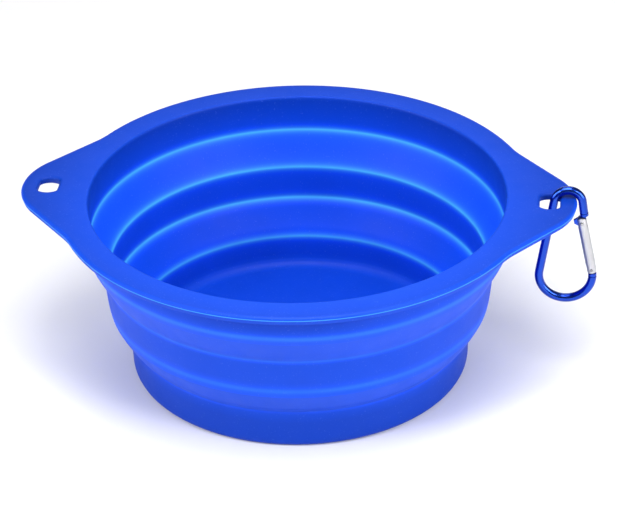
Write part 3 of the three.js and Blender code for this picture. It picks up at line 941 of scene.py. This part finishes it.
def hinge_rivet():
    """The hinge pin, its ends spread into polished domes."""
    half = GATE_RADIUS + RIVET_DOME
    end = [(0, half)]
    for part in RIVET_DOME_PARTS:
        end.append((RIVET_HEAD_RADIUS * part, half - RIVET_DOME * (1 - math.sqrt(1 - part**2))))
    end.append((RIVET_HEAD_RADIUS, GATE_RADIUS - RIVET_SEAT))
    end.append((HINGE_PIN_RADIUS, GATE_RADIUS - RIVET_SEAT))
    return on_gate(lathe("rivet", [*((r, -z) for r, z in end), *reversed(end)], axis="Y"), 0)


def latch_pin():
    """The latch pin, a plain bar with domed ends."""
    end = [
        (0, GATE_RADIUS),
        (LATCH_PIN_RADIUS * PIN_DOME_PART, GATE_RADIUS - PIN_DOME * PIN_DOME_FALL),
        (LATCH_PIN_RADIUS, GATE_RADIUS - PIN_DOME),
    ]
    return on_gate(lathe("latch", [*((r, -z) for r, z in end), *reversed(end)], axis="Y"), LATCH_Z)


def on_gate(piece, height):
    """A piece made about its own origin, put on the gate's line at a height from the hinge pin."""
    piece.data.transform(GATE @ Matrix.Translation((0, 0, height)))
    return piece


def gate_spring():
    """The coil spring in the gate's bore."""
    steps = SPRING_TURN_STEPS * SPRING_TURNS
    radius = SPRING_RADIUS - SPRING_WIRE / 2
    points = []
    for i in range(steps + 1):
        turn = 2 * math.pi * SPRING_TURNS * i / steps
        height = SPRING_TOP - SPRING_PITCH * SPRING_TURNS * i / steps
        points.append(Vector((radius * math.cos(turn), radius * math.sin(turn), height)))
    normals = [Vector((0, 0, 1))] * len(points)
    radii = [SPRING_WIRE / 2] * len(points)
    return on_gate(tube("coil", points, normals, radii, WIRE_FACETS), 0)


# Materials


def new_material(name, **values):
    """A material with its shader's plain values set on their own sockets, named as in add_node."""
    material = bpy.data.materials.new(name)
    material.use_nodes = True
    shader = material.node_tree.nodes["Principled BSDF"]
    for socket, value in values.items():
        shader.inputs[socket.replace("_", " ")].default_value = value
    return material, material.node_tree, shader


def add_node(tree, kind, **inputs):
    """A node of a kind with its inputs set; an underscore in a name stands for a space."""
    node = tree.nodes.new(kind)
    for socket, value in inputs.items():
        node.inputs[socket.replace("_", " ")].default_value = value
    return node


def noise(tree, scale, detail, stretch=None):
    """Noise on the object's own coordinates, in cells per metre."""
    place = tree.nodes.new("ShaderNodeTexCoord").outputs["Object"]
    if stretch:
        mapping = add_node(tree, "ShaderNodeMapping", Scale=stretch)
        tree.links.new(place, mapping.inputs["Vector"])
        place = mapping.outputs["Vector"]
    node = add_node(tree, "ShaderNodeTexNoise", Scale=scale, Detail=detail)
    tree.links.new(place, node.inputs["Vector"])
    return node.outputs["Fac"]


def attribute(tree, name):
    """A number that the mesh stores at each point."""
    node = tree.nodes.new("ShaderNodeAttribute")
    node.attribute_name = name
    return node.outputs["Fac"]


def between(tree, value, low, high, from_low=0.3, from_high=0.7):
    """A number from low to high as value goes across its range."""
    node = add_node(
        tree, "ShaderNodeMapRange", To_Min=low, To_Max=high, From_Min=from_low, From_Max=from_high)
    tree.links.new(value, node.inputs["Value"])
    return node.outputs["Result"]


def mixed(tree, amount, *colours):
    """The first of two colours to the second by an amount; each is a colour or a socket."""
    node = tree.nodes.new("ShaderNodeMix")
    node.data_type = "RGBA"
    tree.links.new(amount, node.inputs[MIX_SHARE])
    for socket, colour in zip(MIX_COLOURS, colours):
        if isinstance(colour, bpy.types.NodeSocket):
            tree.links.new(colour, node.inputs[socket])
        else:
            node.inputs[socket].default_value = (*colour, 1)
    return node.outputs[MIX_RESULT]


def ramp(tree, value, stops):
    """A colour that goes through the colours of its stops (place, colour) as value rises."""
    node = tree.nodes.new("ShaderNodeValToRGB")
    elements = node.color_ramp.elements
    while len(elements) < len(stops):
        elements.new(1)
    for element, (place, colour) in zip(elements, stops):
        element.position = place
        element.color = (*colour, 1)
    tree.links.new(value, node.inputs["Fac"])
    return node.outputs["Color"]


def bumps(tree, shader, layers):
    """Bump from several layers of (height, distance in metres), the coarsest first."""
    normal = None
    for height, distance in layers:
        node = add_node(tree, "ShaderNodeBump", Distance=distance)
        tree.links.new(height, node.inputs["Height"])
        if normal:
            tree.links.new(normal, node.inputs["Normal"])
        normal = node.outputs["Normal"]
    tree.links.new(normal, shader.inputs["Normal"])


def silicone():
    """Matt moulded silicone: royal blue with painted light and shade and a painted glow along its folds; a
    few specks of dust.
    """
    material, tree, shader = new_material("silicone", IOR=1.41, Roughness=0.45, Specular_IOR_Level=0.19)
    # Painted light and shade: deepest painted shade, plain blue, painted lighter webs and the painted glow
    # along the fold lines
    body = ramp(tree, attribute(tree, "painted_light"), [
        (0, SILICONE_DEEP),
        (WALL_PLAIN, SILICONE_BLUE),
        (WEB_PAINTED_LIGHT, SILICONE_WEB),
        (1, SILICONE_PAINTED_GLOW),
    ])
    # Bloom on the outer webs: partly a duller surface, partly a painted sheen from the floor's reflection
    with_bloom_and_sheen = mixed(tree, attribute(tree, "bloom_and_sheen"), body, SILICONE_BLOOM_AND_SHEEN)
    mottle = between(tree, noise(tree, scale=45, detail=3), low=0, high=0.12)
    specks = between(
        tree, noise(tree, scale=1700, detail=0), low=0, high=0.2, from_low=0.74, from_high=0.80)
    cloudy = mixed(tree, mottle, with_bloom_and_sheen, SILICONE_DEEP)
    tree.links.new(mixed(tree, specks, cloudy, DUST), shader.inputs["Base Color"])
    roughness = between(tree, noise(tree, scale=120, detail=4), low=0.46, high=0.56)
    tree.links.new(roughness, shader.inputs["Roughness"])
    waves = noise(tree, scale=30, detail=2)
    grain = noise(tree, scale=2600, detail=2)
    bumps(tree, shader, [(waves, 0.15 * MM), (grain, 0.012 * MM)])
    return material


def anodised():
    """Bright blue anodised rod, with the faint lines of drawing and polishing."""
    material, tree, shader = new_material(
        "anodised", Metallic=1.0, Roughness=0.2, Coat_Weight=0.4, Coat_Roughness=0.12, Coat_IOR=1.5)
    streaks = noise(tree, scale=700, detail=3, stretch=(1, 1, 0.15))
    tree.links.new(mixed(tree, streaks, ANODISED_DARK, ANODISED_LIGHT), shader.inputs["Base Color"])
    roughness = between(tree, noise(tree, scale=500, detail=3), low=0.17, high=0.27)
    tree.links.new(roughness, shader.inputs["Roughness"])
    bumps(tree, shader, [(noise(tree, scale=1800, detail=2), 0.006 * MM)])
    return material


def bare_aluminium():
    """Tumbled bright aluminium, with fine lines along the gate."""
    material, tree, shader = new_material("bare_aluminium", Metallic=1.0, Roughness=0.35)
    streaks = noise(tree, scale=2200, detail=3, stretch=(1, 1, 0.06))
    tree.links.new(mixed(tree, streaks, ALUMINIUM_DARK, ALUMINIUM_LIGHT), shader.inputs["Base Color"])
    roughness = between(tree, noise(tree, scale=900, detail=3), low=0.30, high=0.45)
    tree.links.new(roughness, shader.inputs["Roughness"])
    bumps(tree, shader, [(streaks, 0.01 * MM)])
    return material


def pin_steel():
    """Bright steel wire and pins."""
    material, tree, shader = new_material("pin_steel", Metallic=1.0, Roughness=0.3)
    wear = noise(tree, scale=1500, detail=3)
    tree.links.new(mixed(tree, wear, STEEL_DARK, STEEL_LIGHT), shader.inputs["Base Color"])
    roughness = between(tree, noise(tree, scale=2500, detail=2), low=0.12, high=0.20)
    tree.links.new(roughness, shader.inputs["Roughness"])
    return material


def pale_floor():
    """Plain pale studio floor."""
    material, tree, shader = new_material("pale_floor", Roughness=0.9)
    shade = noise(tree, scale=3, detail=2)
    tree.links.new(mixed(tree, shade, FLOOR_DARK, FLOOR_LIGHT), shader.inputs["Base Color"])
    return material


# Pieces on their bodies


def dress(piece, name, material, slot_name):
    """A piece with its name and its material; the record's slot for its finish is not used."""
    piece.name = name
    piece.data.name = name
    piece.data.materials.clear()
    piece.data.materials.append(material)
    return piece


def add_bowl():
    """The two skins, each over one fold; they meet at the seam in the middle ring."""
    skin = silicone()
    upper = dress(upper_bowl(), "silicone_upper_bowl", skin, "silicone")
    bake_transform(upper)
    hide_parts("rim_and_ears", "upper_fold", "middle_ring")
    lower = dress(lower_bowl(), "silicone_lower_bowl", skin, "silicone")
    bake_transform(lower)
    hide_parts("lower_fold", "base_cup")


def add_carabiner():
    """The frame, and the gate with its pins and spring, each in place of its node."""
    blue = (anodised(), "anodised_aluminium")
    bare = (bare_aluminium(), "bare_aluminium")
    steel = (pin_steel(), "steel")
    rows = [
        (carabiner_frame(), "carabiner_bent_frame", blue, "carabiner", "carabiner_frame"),
        (carabiner_gate(), "carabiner_slotted_gate", bare, "gate", "carabiner_gate"),
        (hinge_rivet(), "gate_hinge_rivet", steel, "gate", "gate_hinge_pin"),
        (latch_pin(), "gate_latch_bar", steel, "gate", "gate_latch_pin"),
        (gate_spring(), "gate_coil_spring", steel, "gate", "gate_spring"),
    ]
    for piece, name, finish, body, node in rows:
        dress(piece, name, *finish)
        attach(piece, body)
        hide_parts(node)


# Stage


def add_floor():
    """A plain pale floor under the bowl."""
    bm = bmesh.new()
    bmesh.ops.create_grid(bm, x_segments=STAGE_SEGMENTS, y_segments=STAGE_SEGMENTS, size=STAGE_HALF_WIDTH)
    floor = finish_mesh("floor", bm)
    floor.data.materials.append(pale_floor())


def add_camera():
    """A camera on the photograph's viewpoint, turned by its roll."""
    flat = Vector((math.sin(CAMERA_AZIMUTH), -math.cos(CAMERA_AZIMUTH), 0))
    back = flat * math.cos(CAMERA_ELEVATION) + Vector((0, 0, math.sin(CAMERA_ELEVATION)))
    data = bpy.data.cameras.new("camera")
    data.sensor_width = SENSOR_WIDTH
    data.lens = FOCAL_PIXELS * SENSOR_WIDTH / IMAGE_WIDTH
    camera = bpy.data.objects.new("camera", data)
    camera.location = CAMERA_AIM + back * CAMERA_DISTANCE
    turn = (-back).to_track_quat("-Z", "Y").to_matrix() @ Matrix.Rotation(CAMERA_ROLL, 3, "Z")
    camera.rotation_euler = turn.to_euler()
    bpy.context.scene.collection.objects.link(camera)
    bpy.context.scene.camera = camera


def add_light(name, place, aim, size, watts, spread=180):
    """A square soft light at a place, turned to its aim, whose beam spreads by an angle in degrees."""
    data = bpy.data.lights.new(name, "AREA")
    data.shape = "SQUARE"
    data.size = size
    data.energy = watts
    data.spread = math.radians(spread)
    light = bpy.data.objects.new(name, data)
    light.location = place
    light.rotation_euler = (Vector(aim) - Vector(place)).to_track_quat("-Z", "Y").to_euler()
    bpy.context.scene.collection.objects.link(light)


def add_lights():
    """Soft lights at both sides, above, behind and all round."""
    add_light("right", (1.0, -0.8, 0.95), LIGHT_AIM, size=0.44, watts=6.4)
    add_light("left", (-1.0, -0.8, 0.95), LIGHT_AIM, size=0.44, watts=7.6)
    add_light("low_right", (1.24, -0.52, 0.39), LIGHT_AIM, size=0.7, watts=11.6)
    add_light("low_left", (-1.24, -0.52, 0.39), LIGHT_AIM, size=0.7, watts=9.6)
    add_light("over", (0.03, -0.14, 0.45), (0.03, -0.14, 0), size=0.32, watts=0.95, spread=100)
    add_light("back", (0, 0.75, 0.8), (0, 0.75, 0), size=0.7, watts=2.6, spread=120)
    add_light("sheen", (0, 0.85, 0.7), LIGHT_AIM, size=0.9, watts=0.4)
    world = bpy.data.worlds.new("studio")
    world.use_nodes = True
    background = world.node_tree.nodes["Background"]
    background.inputs["Color"].default_value = (1, 1, 1, 1)
    background.inputs["Strength"].default_value = WORLD_STRENGTH
    bpy.context.scene.world = world
    bpy.context.scene.view_settings.view_transform = "Standard"


add_camera()
add_bowl()
add_carabiner()
add_floor()
add_lights()

bpy.context.view_layer.update()
